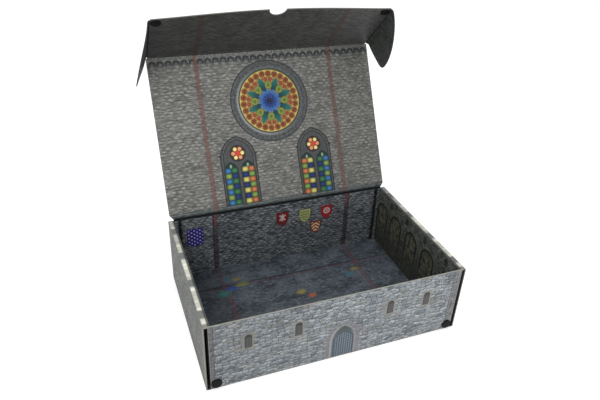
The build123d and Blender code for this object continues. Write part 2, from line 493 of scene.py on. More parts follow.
def rose(art, u, v):
    """A rose window: flower, buds, leaves and two rings of roundels, in a stone ring."""
    y = v - ROSE_AT
    radius = distance(u, y)
    polar = radius, bearing(u, y)
    unit = ROSE_RADIUS
    ring = ramp(noise(u, y, 3.6, 3.2, 31), 0.3, 0.7)
    art.fill(ROSE_FRAME - radius, mix(ring, (54, 58, 60), (92, 94, 95)), soft=0.8)
    side = spokes(polar, 48, 5)[1]
    joint = cover(0.35 - abs(abs(side) - radius * math.tan(math.pi / 48)), 0.9)
    outer_ring = least(radius - (ROSE_FRAME - 6.5), ROSE_FRAME - radius)
    art.fill(outer_ring, (38, 42, 44), joint * 0.45)
    speckle = ramp(noise(u, y, 1.8, 1.3, 32), 0.58, 0.7)
    art.fill(ROSE_FRAME - radius, (140, 141, 140), speckle * 0.5)
    art.stroke(ROSE_FRAME - 0.8 - radius, 1.9, (38, 42, 42), 0.85, 0.9)
    art.stroke(ROSE_FRAME - 7 - radius, 1, (50, 54, 54), 0.7, 1)
    # Light from the upper right leaves a bright crescent inside the lower left of the ring.
    shifted = distance(u - 2.6, y - 1.4)
    crescent = least(shifted - (unit + 1.4), unit + 5.6 - radius)
    west = ramp(-u - y * 0.5, -10, 60)
    art.fill(crescent, (150, 154, 156), 0.12 + west * 0.52, 1.8)
    art.stroke(unit + 1 - radius, 2.6, (52, 60, 38), 0.95, 0.9)

    art.fill(unit - radius, (206, 190, 112))
    run, side = spokes(polar, 26, 3)
    speck = noise(u, y, 1.7, 1.7, 33)
    ragged = (speck - 0.5) * 3.4
    off_centre = distance(run - unit * 0.875, side)
    pane = unit * 0.098 + ragged - off_centre
    art.fill(pane + 1, (160, 112, 54), 0.55, 0.8)
    art.fill(pane, (110, 54, 36), 1, 0.7)
    art.fill(pane, (186, 112, 60), ramp(speck, 0.46, 0.62) * 0.85, 1)
    art.fill(1.7 - off_centre, (66, 36, 30), 0.65, 1.2)
    ground = mix(ramp(speck, 0.3, 0.7), (92, 66, 34), (176, 146, 80))
    art.fill(unit * 0.775 - radius, ground, 0.92, 1.6)
    run, side = spokes(polar, 8, ROSE_TURN)
    for reach, apart, size in ((0.7, 0.08, 0.066), (0.655, 0.2, 0.052)):
        off_centre = distance(run - unit * reach, abs(side) - unit * apart)
        pair = unit * size + ragged * 0.5 - off_centre
        art.fill(pair + 0.8, (188, 160, 92), 0.6, 0.9)
        art.fill(pair, (126, 48, 36), 1, 0.8)
        art.fill(pair - 1.4, (176, 88, 64), 0.8, 1.2)
    # Teal leaves between the buds.
    leaf_run, leaf_side = spokes(polar, 8, ROSE_TURN + 360 / 16)
    leaf = blade(leaf_run, leaf_side, 0.53, 0.27, 0.112)
    art.fill(leaf + 0.9, (178, 160, 96), 0.55)
    teals = mix(ramp(leaf_run / unit, 0.38, 0.74), (26, 66, 78), (46, 116, 104))
    art.fill(leaf, scaled(teals, 0.7 + speck * 0.6), 1, 0.7)
    art.fill(least(leaf, 0.5 - abs(leaf_side)), (24, 70, 78), 0.6, 0.7)
    bud = unit * 0.108 - distance(run - unit * 0.505, side)
    art.fill(bud + 1.2, (66, 84, 40), 0.75, 1)
    greens = mix(ramp(bud, 0, unit * 0.09), (150, 158, 72), (88, 118, 52))
    art.fill(bud, scaled(greens, 0.6 + speck * 0.8), 1, 0.8)
    spots = ramp(noise(u, y, 1.5, 1.5, 34), 0.56, 0.64)
    art.fill(bud - 1, (58, 96, 52), spots * 0.6, 1)
    # Twelve blue petals over a dark core.
    art.fill(unit * 0.335 - radius, (34, 72, 136), soft=2.2)
    run, side = spokes(polar, 12, 2)
    petal = blade(run, side, 0.235, 0.165, 0.08)
    blues = mix(ramp(run / unit, 0.12, 0.38), (40, 72, 148), (78, 130, 184))
    art.fill(petal, blues, soft=1)
    art.fill(least(petal, 0.4 - abs(side)), (34, 62, 136), 0.6, 0.9)
    run, side = spokes(polar, 12, 17)
    art.fill(least(0.9 - abs(side), unit * 0.24 - run), (24, 34, 84), 0.8, 1.4)
    art.fill(unit * 0.1 - radius, (18, 22, 52), 0.9, 5)
    dots = ramp(noise(u, y, 1.6, 1.6, 37), 0.6, 0.66)
    art.fill(unit * 0.17 - radius, (128, 130, 168), dots * 0.8, 2)
    beyond_glass = cover(radius - unit - 0.4, 0.8)
    art.scale(0.62 + noise(u, y, 3.4, 3.4, 39) * 0.32 + beyond_glass * 0.22)


LANCET_AT = 69             # from the middle to each lancet window's axis
LANCET_SPRING = 86.5
LANCET_HALF = 31.3
LANCET_RADIUS = 39
LANCET_RING = 5.6
LANCET_FOOT = 9
LIGHT_OFFSET = 14.8        # each light's axis from the window's
LIGHT_HALF = 11.3
LIGHT_FOOT = 8.6
PANE_COLUMN = 11.1
PANE_ROW = 9.07
PANE_ROWS = 7
# For each row of panes, the tints of the inner light's two columns, then the outer one's.
PANE_TINTS = (
    (((206, 122, 74), (216, 208, 116)), ((62, 124, 76), (62, 122, 178))),
    (((130, 162, 80), (38, 56, 118)), ((36, 60, 118), (138, 166, 82))),
)
ROSETTE_AT = 95.6


def lancets(art, u, v):
    """The two lancet windows, mirrored about the lid's middle."""
    x = abs(u) - LANCET_AT
    hood = arch(x, v - LANCET_SPRING, LANCET_HALF, LANCET_RADIUS)
    above_foot = v - LANCET_FOOT
    outer = least(hood, above_foot)
    mottle = ramp(noise(u, v, 4, 3, 41), 0.3, 0.7)
    art.fill(outer, mix(mottle, (56, 59, 59), (100, 101, 100)), soft=0.6)
    joint = cover(0.4 - abs(wrap(v + abs(x) * 0.35, 7)))
    art.fill(outer, (60, 64, 64), joint * 0.35)
    dark = (36, 40, 40)
    speckle = ramp(noise(u, v, 1.8, 1.3, 42), 0.58, 0.7)
    art.fill(outer, (128, 129, 127), speckle * 0.45)
    art.stroke(least(hood - 0.8, above_foot), 2, dark, 0.95, 0.8)
    art.fill(rectangle(abs(x) - LANCET_HALF - 0.4, v - 93, 1.6, 1.6), dark, 0.9)
    field = least(hood - LANCET_RING, above_foot)
    art.fill(field, mix(noise(u, v, 5, 7, 44), (50, 53, 54), (86, 87, 89)), soft=0.6)
    art.stroke(field, 1.6, dark, 0.95, 0.8)
    art.stroke(hood - LANCET_RING * 0.5, 0.9, (44, 48, 48), cover(above_foot) * 0.6, 0.9)

    # Small rosette over the two lights.
    ry = v - ROSETTE_AT
    rosette = distance(x, ry)
    art.fill(14 - rosette, (26, 30, 30), 0.9, 1.6)
    art.fill(11.6 - rosette, (66, 42, 22), 1, 1.2)
    turn = bearing(x, ry)
    out, side = spokes((rosette, turn), 6)
    dot = 3.1 - distance(out - 8.1, side)
    # Mirrored windows share the colours: yellow and salmon take turns.
    third = calc("COMPARE", wrap(turn - 180, 120), 0, 30)
    art.fill(dot + 0.6, (140, 74, 32), 0.8, 0.9)
    art.fill(dot, mix(third, (216, 144, 112), (222, 214, 138)), soft=1.1)
    art.fill(4.4 - rosette, (196, 66, 48), soft=0.9)

    # Each window has two lights, each with two columns of panes.
    lx = abs(x) - LIGHT_OFFSET
    top = LIGHT_FOOT + PANE_ROWS * PANE_ROW
    light = least(arch(lx, v - (top - 7), LIGHT_HALF, LIGHT_HALF * 1.5), v - LIGHT_FOOT)
    art.fill(light + 1.4, (30, 36, 36), 0.9, 1)
    art.fill(light, (24, 48, 44), soft=0.6)
    across = wrap(lx - PANE_COLUMN / 2, PANE_COLUMN)
    rows = (v - LIGHT_FOOT) / PANE_ROW
    up = (calc("FRACT", rows) - 0.5) * PANE_ROW
    outer_light = x > 0
    outer_column = lx * calc("SIGN", x) > 0
    first, second = (
        mix(outer_light, mix(outer_column, *inner_tints), mix(outer_column, *outer_tints))
        for inner_tints, outer_tints in PANE_TINTS
    )
    bulge = distance(across * (1 / PANE_COLUMN), up * (1 / PANE_ROW)) * 2
    glow = 0.3 + ramp(-bulge, -1.15, -0.1) * 0.62
    pane = rectangle(across, up, PANE_COLUMN / 2 - 0.3, PANE_ROW / 2 - 0.3)
    inside = least(pane, light - 0.5, top - v)
    art.fill(inside, scaled(mix(odd(rows), first, second), glow), 1, 0.9)
    tip = 1.9 - distance(lx, (v - top - 2.6) * 0.7)
    art.fill(least(tip, light), (150, 176, 150), 0.85, 1.6)


STRING_COURSE = 8.4        # its height above the hinge, with the dark fold below it
FOLD_SHADOW = 3.4
FRIEZE_PITCH = 13
FRIEZE_TIP = 259
FRIEZE_FOOT = 246


def lid_picture(u, v):
    """Pale coursed stone with the windows, a frieze, a string-course and the red bands."""
    art = masonry(u, v, 2, **LID_STONE)
    lancets(art, u, v)
    rose(art, u, v)
    # Frieze of small pointed arches under a pale ledge.
    x = wrap(u - FRIEZE_PITCH / 2, FRIEZE_PITCH)
    bay = arch(x, v - (FRIEZE_TIP - 9.4), 5.6, 9.4)
    art.fill(v - FRIEZE_TIP, (112, 113, 110), 0.3, 2)
    foot = cover(v - FRIEZE_FOOT, 1.5)
    fade = ramp(v, FRIEZE_TIP - 12, FRIEZE_TIP - 6)
    art.stroke(bay - 0.7, 3.2, (30, 35, 39), foot * fade * 0.95, 1.2)
    art.stroke(bay - 0.7, 3.2, (50, 55, 57), foot * 0.5, 1.2)
    art.fill(bay - 1.2, (50, 55, 58), ramp(v, FRIEZE_TIP - 12, FRIEZE_TIP - 4) * 0.65, 1.5)
    speck = ramp(noise(u, v, 2.6, 1.5, 47), 0.36, 0.66)
    ledge = mix(speck, (50, 53, 53), (146, 147, 142))
    art.fill(v - (FRIEZE_TIP - 0.8), ledge, 0.85, 2.2)
    # String-course at the hinge.
    course = STRING_COURSE - v
    veins = ramp(noise(u, v, 9, 1.2, 43), 0.32, 0.68)
    art.fill(course, mix(veins, (36, 44, 46), (118, 128, 126)), 0.95, 1.2)
    art.stroke(course, 1.4, (40, 46, 48), 0.7, 1.2)
    art.stroke(v - 4.6, 1.3, (24, 30, 33), 0.75, 1.4)
    art.red_bands(u, v, 45)
    art.fill(FOLD_SHADOW - v, (9, 12, 14), 0.97, 1.2)
    # Painted light and shade: lighter at the left and darker towards the right, as the light falls
    # off across the lid.
    art.scale(1.03 - ramp(u, -60, 230) * 0.27)
    return art


# ------------------------------------------------------------------------ materials


def crease_material(name, outward):
    """The bent board of a fold: near black on the inside as painted shade, scuffed print on the
    outside.
    """
    x, y, z = start(name)
    nx, ny, nz = facing()
    outside = nx * outward.x + ny * outward.y + nz * outward.z
    mottle = ramp(noise(x, y + z, 4.5, 2, 175), 0.3, 0.7)
    printed = mix(mottle, (62, 65, 66), (128, 130, 127))
    # Painted shade: the inside of the fold is near black.
    dark = scaled((8, 10, 11), 0.6 + mottle * 0.8)
    colour = mix(ramp(outside, -0.15, 0.25), dark, printed)
    return finish_board(colour, x, y + z, 177, rough=0.7, warp=0.1, gloss=0.04)


def core_board(name, tint):
    """Bare fibre board, as on cut edges and unprinted flaps."""
    x, y, z = start(name)
    u, v = x + y, z + y * 0.6
    mottled = noise(u, v, 6, 4, 51)
    fibres = noise(u, v, 0.8, 0.5, 53, 2)
    colour = scaled(tint, 0.7 + mottled * 0.34 + fibres * 0.26)
    return finish_board(colour, u, v, 55, rough=0.75, warp=0.1)


WINDOWS = (-139.5, -66.8, 77, 138)
WINDOW_HEIGHT = 75
WINDOW_SPRING = 6.6        # above the middle of a window
DOOR_AT = 3.6
DOOR_SPRING = 34
PLANK = 3.6
FRONT_CORNER = 6.3         # the printed corner stones' width at the left
FRONT_CORNER_MORE = 6.2    # and how much wider they are at the right
QUOIN_PITCH = 22


def front_picture(x, z):
    """The castle wall on the front: four windows, a pointed door and corner stones."""
    art = rubble(x, z, 11, **WALL_STONE)
    art.lay(ramp(noise(x, z, 60, 34, 57), 0.56, 0.75) * 0.3, (120, 124, 116))
    for place in WINDOWS:
        dx, dz = x - place, z - WINDOW_HEIGHT
        quoin_step = calc("FRACT", (z + 200) / 11.5) > 0.5
        surround = least(8 + quoin_step * 3.4 - abs(dx), 15.5 - abs(dz + 1))
        cream = mix(noise(x, z, 4.5, 3, 61), (104, 106, 100), (150, 148, 134))
        art.fill(surround, cream, 0.5, 1.8)
        jamb = least(arch(dx, dz - WINDOW_SPRING, 6.9, 7.3), dz + 13.3)
        blocks = mix(noise(x, z, 3.2, 3.2, 62), (122, 122, 112), (166, 164, 148))
        art.fill(jamb, blocks, 0.85, 0.9)
        art.stroke(jamb + 0.4, 0.7, (86, 88, 84), 0.5, 0.8)
        glass = least(arch(dx, dz - WINDOW_SPRING, 5.2, 5.5), dz + 11.7)
        art.fill(glass + 0.5, (66, 66, 64), 0.9, 0.7)
        art.fill(glass, mix(noise(x, z, 3, 4, 63), (74, 73, 74), (94, 92, 94)), 1, 0.5)
        lattice = most(0.32 - abs(wrap(dx, 2.1)), 0.24 - abs(wrap(dz, 3)))
        art.fill(least(lattice, glass), (46, 46, 48), 0.8, 0.4)
        # The arch throws a shadow on the upper left of the glass.
        art.fill(least(glass, most(dz - 6, -(dx + 3.6))), (40, 40, 42), 0.6, 0.8)
    # Door: a pointed opening with a round-headed leaf set low in it.
    dx, dz = x - DOOR_AT, z - DOOR_SPRING
    hood = arch(dx, dz, 27.5, 35.3)
    art.fill(hood, mix(noise(x, z, 6, 5, 67), (88, 88, 93), (142, 139, 143)), 0.8, 2.6)
    voussoir = cover(0.8 - abs(wrap(bearing(dx, dz), 17)) * 0.5, 1.4) * cover(dz)
    bed = cover(0.5 - abs(wrap(z, 12)), 0.8) * cover(-dz)
    art.fill(hood - 1.5, (72, 72, 76), (voussoir + bed) * 0.35)
    opening = arch(dx, dz, 17.4, 28.1)
    lip = least(opening + 3.2, -0.4 - opening)
    art.fill(lip, (158, 158, 156), 0.18 + ramp(-dx, 2, 16) * 0.5, 1.4)
    art.fill(opening, mix(ramp(z, 30, 60), (98, 107, 108), (64, 72, 74)), 1, 0.9)
    art.fill(least(opening, -(dx + 13.6)), (104, 108, 106), 0.6, 2.4)
    leaf = arch(x - 4.4, z - 31, 16.2, 17)
    art.fill(leaf, mix(noise(x, z, 1.4, 12, 71), (62, 74, 86), (88, 100, 112)), 1, 0.8)
    gap = 0.35 - abs(wrap(x - 5, PLANK))
    art.fill(least(gap, leaf), (40, 50, 60), 0.7, 0.5)
    stud = 0.85 - distance(wrap(x - 5 - PLANK / 2, PLANK), wrap(z - 2, 3.4))
    art.fill(least(stud, leaf - 1.2), (142, 152, 160), 0.85, 0.7)
    art.stroke(leaf, 1.2, (48, 57, 62), 0.8, 0.9)
    # The whole wall darkens towards the left; then the corner stones.
    art.scale(0.76 + ramp(x, -190, 60) * 0.18)
    right = x > 0
    strip = abs(x) - (front_half - FRONT_CORNER - right * FRONT_CORNER_MORE)
    mottle = ramp(noise(x, z, 4, 7, 73, 4), 0.3, 0.7)
    corner = scaled(mix(mottle, (66, 68, 71), (126, 125, 127)), 0.68 + right * 0.38)
    art.fill(strip, corner, 0.85, 0.9)
    art.fill(least(strip, 0.6 - abs(wrap(z - 6, QUOIN_PITCH))), (62, 62, 63), 0.8, 0.7)
    art.stroke(strip, 1.2, (66, 67, 68), 0.8, 0.8)
    art.wear(tray_high.z - z, x, z, 75, 1.1, (160, 159, 148))
    art.wear(least(front_half - abs(x), z - 1.5), x, z, 77)
    return art


def front_material():
    x, y, z = start("front_print")
    art = masonry(x, z, 79, **DIM_STONE)
    art.lay(cover(front_low.y + 0.4 - y, 0.1), front_picture(x, z))
    edge = mix(noise(x, y, 6, 1, 81), (112, 112, 106), (158, 156, 147))
    art.lay(z > tray_high.z - 0.05, edge)
    return finish_board(art, x, z, 83)


OUTER_CORNER = 8.5


def outer_material():
    """Squared stone on the sides, the back and the floor panel's rim."""
    x, y, z = start("outer_print")
    nx, ny, nz = facing()
    lengthwise = abs(ny) > 0.5
    u = either(lengthwise, x, y)
    art = rubble(u, z, 85, **OUTER_STONE)
    from_corner = either(lengthwise, tray_high.x, tray_high.y) - abs(u)
    strip = OUTER_CORNER - from_corner
    corner = mix(noise(u, z, 9, 14, 87), (98, 98, 95), (128, 127, 122))
    art.fill(strip, corner, 0.9, 0.6)
    joint = 0.4 - abs(wrap(z - 17, QUOIN_PITCH))
    art.fill(least(strip, joint), (66, 66, 64), 0.7, 0.5)
    art.stroke(strip, 0.8, (70, 70, 68), 0.6, 0.6)
    art.wear(least(from_corner, z + 0.3), u, z, 89)
    # Only the faces on the tray's outside are printed. The others are bare board.
    sideways = abs(x) * (abs(nx) > 0.5) > tray_high.x - 0.3
    behind = (y > tray_high.y - 0.3) * (ny > 0.5)
    before = (-y > tray_high.y - 0.3) * (-ny > 0.5)
    bare = scaled((52, 53, 54), 0.75 + noise(x + y, z, 5, 4, 91) * 0.5)
    colour = mix(most(sideways, behind, before), bare, art)
    return finish_board(colour, u, z, 93, rough=0.62, gloss=0.08)


COPING_PERIOD = 67.5       # a run of cream blocks and the grey gap after it
COPING_GAP = 16
COPING_BLOCK = 8.4


def strip_material():
    """Runs of cream coping blocks, with grey gaps, along the tops of the side walls."""
    x, y, z = start("battlement_print")
    wander = (noise(x, y, 9, 7, 94) - 0.5) * 3
    gap = COPING_GAP / 2 - abs(wrap(y + 104 + wander, COPING_PERIOD))
    cell = (y + 131) / COPING_BLOCK
    place = abs(calc("FRACT", cell) - 0.5) * COPING_BLOCK
    speckle = noise(x, y, 3.2, 3.2, 97)
    art = Picture(mix(chance(calc("FLOOR", cell), 1), (168, 168, 158), (226, 225, 213)))
    art.scale(0.86 + speckle * 0.24)
    art.fill(place - (COPING_BLOCK / 2 - 0.4), (120, 121, 115), 0.5, 0.9)
    art.fill(gap, mix(speckle, (84, 87, 88), (124, 126, 124)), 0.95, 1.6)
    right = x > 0
    # Painted shade: both strips grey towards the back, the right one more, and the right strip is
    # darker all over.
    art.lay(ramp(y, 20, 130) * (0.35 + right * 0.3), (86, 89, 88))
    art.scale(1 - right * 0.18)
    # The front end, the outer lip and the inner lip.
    art.fill(-y - (tray_high.y - 5), (112, 110, 104), 0.8, 0.8)
    art.fill(abs(x) - (tray_high.x - 1), (96, 98, 95), 0.7, 1.4)
    art.fill(inner_half + 2.9 - abs(x), (58, 61, 60), 0.9, 1.4)
    art.lay(abs(facing()[0]) > 0.6, rubble(y, z, 85, **OUTER_STONE))
    return finish_board(art, x, y, 99)


NICHES = (108, 58.5, 6, -46.5)
NICHE_HALF = 19.3
NICHE_TOP = 92
SMALL_NICHES = (80, 25, -32, -94)


def niche_picture(y, z):
    """Dark greenish stone with round-headed niches, each with a dim window in it."""
    art = masonry(y, z, 101, **NICHE_STONE)
    art.scale(0.55 + noise(y, z, 9, 7, 102) * 0.9)
    # Painted shade: the wall darkens towards the tray floor.
    art.scale(1 - ramp(-z, -104, -30) * 0.66)
    for index, place in enumerate(NICHES):
        dy = y - place
        head = arch(dy, z - (NICHE_TOP - NICHE_HALF), NICHE_HALF, NICHE_HALF)
        fade = ramp(z, 22, 62)
        cloth = noise(y, z, 7, 9, 103 + index, 3)
        olive = mix(ramp(cloth, 0.3, 0.72), (30, 32, 27), (98, 100, 82))
        art.fill(head, olive, 0.25 + fade * 0.65, 3)
        art.stroke(head - 1.6, 4, (12, 13, 13), 0.3 + fade * 0.6, 1.8)
        art.stroke(head + 2.2, 1.8, (104, 106, 100), 0.3, 2.4)
        sparks = ramp(noise(y, z, 2.2, 2.2, 104 + index), 0.6, 0.7)
        near = ramp(-distance(dy + 1, (z - 64) * 0.7), -11, 0)
        art.lay(sparks * near * 0.7, (160, 164, 120))
    for place in SMALL_NICHES:
        stub = least(arch(y - place, z - 106, 5, 5), z - 97)
        art.fill(stub, (18, 20, 20), 0.75, 2.4)
        art.stroke(stub + 1.4, 1.6, (112, 114, 108), 0.4, 1.4)
    return art


def inner_material():
    x, y, z = start("inner_print")
    art = niche_picture(y, z)
    art.lay(abs(x) > inner_half + 0.3, (40, 41, 41))
    return finish_board(art, y, z, 107, rough=0.52)


BACK_BAND = 122.5
BANNER_AT = (-157.6, 76.5)
BANNER_HALF = 13.3
FLECK_PITCH = 4.7          # columns of flecks on the banner
FLECK_ROWS = 7.2
# Each shield's middle, half width, ground, charge and device.
SHIELDS = (
    (-1.6, 87.0, 10.8, (104, 30, 36), (178, 168, 160), "cross"),
    (41.0, 86.0, 10.4, (152, 156, 98), (58, 78, 62), "waves"),
    (83.6, 86.5, 10.6, (138, 32, 38), (176, 170, 168), "rings"),
    (63.4, 57.5, 9.8, (116, 40, 42), (192, 178, 142), "chevrons"),
)


def device(kind, dx, dz):
    """The inside distance of a shield's plain device."""
    if kind == "cross":
        arms = most(1.5 - abs(abs(dx) - abs(dz)) * 0.7, 1.3 - abs(dx))
        return least(arms, 7.6 - distance(dx, dz))
    if kind == "waves":
        return 1.1 - abs(wrap(dz + calc("SINE", dx * 0.9) * 1.1, 5.4))
    if kind == "rings":
        ring = distance(dx, dz - 0.5)
        return most(1.2 - abs(ring - 5.2), 2.1 - ring)
    return 1.7 - abs(wrap(dz + 1 + abs(dx) * 0.75, 7))


def back_picture(x, z):
    """Dim blue-grey stone with a banner and four plain shields."""
    art = masonry(x, z, 23, **DIM_STONE)
    # Painted shade: the wall darkens towards the tray floor.
    art.scale(0.8 + ramp(z, 40, 112) * 0.2)
    # The bands are red at the top and dark below.
    dark_bands = Picture(art.socket)
    dark_bands.red_bands(x, z, 109, (40, 28, 32), BACK_BAND)
    art.red_bands(x, z, 109, (104, 56, 52), BACK_BAND)
    art = Picture(mix(ramp(z, 84, 104), dark_bands, art))
    art.stroke(abs(x) - (BACK_BAND + 3.9), 2.4, (26, 24, 28), 0.7, 0.8)
    # Painted shade: a near-black band down each end of the back wall, in the corners by the side
    # walls.
    wander = (noise(x, z, 12, 8, 110) - 0.5) * 5
    art.stroke(abs(x) - 182 + wander, 6.4, (12, 14, 17), 0.92, 2)

    bx, bz = x - BANNER_AT[0], z - BANNER_AT[1]
    banner = least(BANNER_HALF - abs(bx), 18.5 - bz, bz + 17 - abs(bx) * 0.16)
    art.fill(banner + 0.8, (18, 18, 48), 0.8, 0.8)
    art.fill(banner, mix(noise(x, z, 6, 8, 113), (24, 18, 82), (40, 30, 116)), 1, 0.6)
    column = (bx + BANNER_HALF) / FLECK_PITCH
    stagger = odd(column) * (FLECK_ROWS / 2)
    across = wrap(bx + (BANNER_HALF - FLECK_PITCH / 2), FLECK_PITCH)
    fleck = 1.45 - distance(across, wrap(bz + stagger, FLECK_ROWS))
    art.fill(least(fleck, banner - 0.8), (164, 160, 196), 0.85, 0.8)

    for centre, middle, half, ground, charge, kind in SHIELDS:
        dx, dz = x - centre, z - middle
        sides = least(half - abs(dx), half * 1.05 - dz)
        body = least(sides, half * 1.72 - distance(abs(dx) + half * 0.72, most(-dz, 0)))
        art.fill(body + 0.9, darker(ground, 0.35), 0.85, 0.8)
        art.fill(body, ground, 1, 0.6)
        art.fill(least(device(kind, dx, dz), body - 1.9), charge, 0.9, 0.8)
    art.scale(0.84 + noise(x, z, 40, 24, 117) * 0.32)
    return art


def back_material():
    x, y, z = start("back_print")
    return finish_board(back_picture(x, z), x, z, 119)


SLAB = (62, 64)
# Each patch of light's middle, half sizes and tint.
LIGHT_PATCHES = (
    (-128, 56, 12, 9, (44, 112, 104)),
    (-112, 66, 13, 6, (40, 78, 140)),
    (-92, 72, 13, 5.5, (112, 116, 58)),
    (-98, 88, 10, 4.5, (118, 104, 48)),
    (-116, 92, 9, 5, (38, 92, 112)),
    (-2, 22, 9, 7, (136, 124, 62)),
    (12, 8, 8, 6, (150, 84, 50)),
    (96, 40, 10, 6, (52, 96, 118)),
    (112, 52, 9, 5, (126, 112, 58)),
)


def floor_material():
    """Slate flagstones with faint coloured patches, as of light through stained glass."""
    x, y, z = start("floor_print")
    fine = noise(x, y, 7, 4, 123, 4)
    slow = ramp(noise(x, y, 36, 26, 121, 4), 0.28, 0.72)
    art = Picture(mix(slow, (44, 49, 55), (80, 87, 95)))
    art.lay(ramp(noise(x, y, 12, 4, 122, 2), 0.5, 0.7) * 0.42, (112, 120, 128))
    art.lay(ramp(fine, 0.5, 0.7) * 0.5, (106, 113, 121))
    art.lay(ramp(noise(x, y, 6.5, 3.4, 125), 0.54, 0.68) * 0.75, (24, 27, 32))
    sway = (noise(x, y, 30, 30, 127) - 0.5) * 5
    joint = least(abs(wrap(x + sway, SLAB[0])), abs(wrap(y - 10 + sway, SLAB[1])))
    art.fill(0.5 - joint, (34, 38, 44), 0.45, 1.6)
    # A dark line along the floor with a red one in front of it.
    art.stroke(y - 74.5 + sway * 0.5, 2.6, (30, 28, 32), 0.8, 1.4)
    art.stroke(y - 70.5 + sway * 0.5, 1.8, (96, 50, 56), 0.55, 1.4)
    art.red_bands(x, y, 129, (92, 62, 66), 122, 0.6)
    for middle_x, middle_y, half_x, half_y, tint in LIGHT_PATCHES:
        near = 1 - distance((x - middle_x + sway) / half_x, (y - middle_y + sway) / half_y)
        art.lay(ramp(near, -0.35, 0.75) * (0.45 + fine * 0.6), tint)
    # Painted shade: darker towards the back, and much darker towards the left, in the left wall's
    # shadow.
    art.scale(1 - ramp(y, 20, 120) * 0.12 - ramp(-x, 60, 185) * 0.42)
    to_edge = least(floor_high.x - abs(x), y - floor_low.y, floor_high.y - y)
    # Painted shade: a dark ragged band along the floor's edges, where it meets the walls.
    art.wear(to_edge, x, y, 131, 0.8, (44, 46, 48))
    return finish_board(art, x, y, 133, rough=0.42)


def lid_material():
    """The picture inside the lid, bare board at its edges and plain stone outside."""
    x, y, z = start("lid_print")
    v = along(y, z, lid_origin, lid_dir)
    depth = along(y, z, lid_origin, lid_in)
    picture = lid_picture(x, v)
    picture.wear(lid_half - abs(x), x, v, 135)
    outside = rubble(x, v, 137, **OUTER_STONE)
    outside.wear(least(lid_half - abs(x), v - 1.5), x, v, 139)
    art = Picture(scaled((104, 104, 100), 0.7 + noise(x, v, 3, 3, 141) * 0.6))
    art.lay(cover(depth - board / 2 + 0.1, 0.1), picture)
    art.lay(cover(-depth - board / 2 + 0.1, 0.1), outside)
    return finish_board(art, x, v, 143)


def flap_inner_material():
    x, y, z = start("flap_inner_print")
    s = along(y, z, flap_origin, flap_dir)
    # Painted shade: darker copies of the stone and of the red bands.
    art = masonry(x, s, 145, **FLAP_STONE_IN_SHADE)
    art.red_bands(x, s, 147, (72, 46, 42), 117.5, 0.7)
    speck = ramp(noise(x, s, 2.6, 1.5, 149), 0.4, 0.7)
    art.fill(3.6 - s, (128, 129, 124), speck * 0.6, 2)
    art.wear(flap_height - s, x, s, 151)
    # Painted shade: darker towards the left.
    art.scale(0.7 + ramp(x, -190, 190) * 0.2)
    return finish_board(art, x, s, 153)


def flap_outer_material():
    x, y, z = start("flap_outer_print")
    s = along(y, z, flap_origin, flap_dir)
    art = rubble(x, s, 155, **OUTER_STONE)
    art.wear(least(flap_height - s, flap_half - abs(x)), x, s, 157)
    return finish_board(art, x, s, 159)


def ear_material(name, light):
    x, y, z = start(name)
    s = along(y, z, flap_origin, flap_dir)
    e = along(y, z, flap_origin, flap_in)
    art = masonry(e, s, 161, **EAR_STONE_IN_SHADE)
    # Painted light and shade: the inner face keeps the dark stone, the outer face is made lighter.
    art.scale(light)
    return finish_board(art, e, s, 163)


def disc_material():
    """Moulded black plastic, dusty and finely scratched across the top."""
    x, y, z = start("disc_plastic")
    swirl = noise(x + y, z, 0.35, 4, 165, 2)
    dust = noise(x, z + y, 1.4, 1.4, 167)
    colour = mix(ramp(dust, 0.6, 0.8) * 0.2, (12, 13, 15), (44, 46, 48))
    roughness = 0.34 + swirl * 0.16 + dust * 0.1
    return finish(colour, roughness, swirl * 0.02, 0.6, Specular_IOR_Level=0.1)


def metal_material(name, tint, rough):
    x, y, z = start(name)
    brushed = noise(x, y + z, 14, 0.35, 169)
    smear = noise(x, y + z, 18, 12, 171)
    colour = scaled(tint, 0.84 + brushed * 0.2 + smear * 0.1)
    return finish(colour, rough + smear * 0.2, brushed * 0.006, 0.6, Metallic=1)


plain_board = core_board("plain_board", (70, 71, 71))
steel = metal_material("steel_sheet", (58, 61, 66), 0.55)
plated = metal_material("plated_magnet", (176, 176, 178), 0.22)
black_plastic = disc_material()
outer_print = outer_material()

node_surfaces = {
    "front_wall": front_material(),
    "back_wall": outer_print,
    "floor_panel": outer_print,
    "floor_steel_sheet": steel,
    "back_steel_sheet": steel,
    "floor_print_sheet": floor_material(),
    "back_print_sheet": back_material(),
    "lid_panel": lid_material(),
}
paired_surfaces = {
    "side_outer": outer_print,
    "side_top_strip": strip_material(),
    "side_inner": inner_material(),
    "front_corner_flap": plain_board,
    "rear_corner_flap": plain_board,
    "front_disc_magnet": plated,
    "flap_disc_magnet": plated,
}
for name, surface in paired_surfaces.items():
    node_surfaces |= {f"{name}_{side}": surface for side, sign in SIDES}
for name, surface in node_surfaces.items():
    surfaces = frame["nodes"][name].data.materials
    surfaces.clear()
    surfaces.append(surface)


# ------------------------------------------------------------------ modelled pieces


def linked(name, data):
    made = bpy.data.objects.new(name, data)
    bpy.context.collection.objects.link(made)
    return made


def stand_in(name, data, surfaces, node_name, body):
    """Puts a modelled piece in the place of a CAD node."""
    for surface in surfaces:
        data.materials.append(surface)
    made = linked(name, data)
    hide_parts(node_name)
    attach(made, body)
    return made


def smoothed(data, sharp_angle):
    for face in data.polygons:
        face.use_smooth = True
    data.set_sharp_from_angle(angle=math.radians(sharp_angle))


